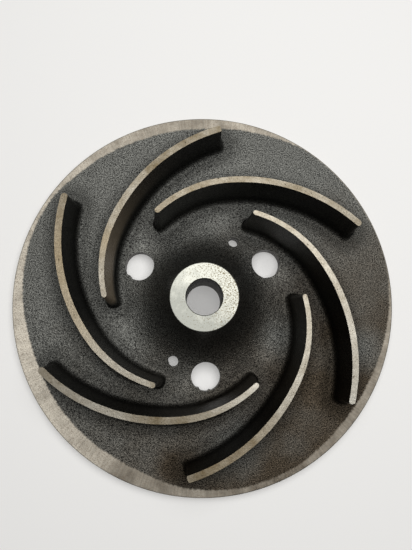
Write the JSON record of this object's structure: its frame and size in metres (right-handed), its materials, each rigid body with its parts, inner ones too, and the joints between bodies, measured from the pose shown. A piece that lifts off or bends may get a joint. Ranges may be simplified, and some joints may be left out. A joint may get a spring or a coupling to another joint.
{
  "type": "pump impeller",
  "caption": "Semi-open centrifugal pump impeller: one iron casting with a flared hub, swept-back vanes and a pierced back plate.",
  "frame": {"origin": "centre of the flat back face, on the shaft axis", "axes": "+Z along the shaft axis, from the back face towards the vanes and the hub's end; the first vane's inner end lies on the -X side"},
  "size_m": [0.28, 0.28, 0.0542],
  "materials": {
    "cast_iron": "as-cast grey iron, with a turned rim land, a faced hub ring and ground vane edges"
  },
  "bodies": {
    "root": {"impeller_casting": "cast_iron"}
  },
  "joints": []
}
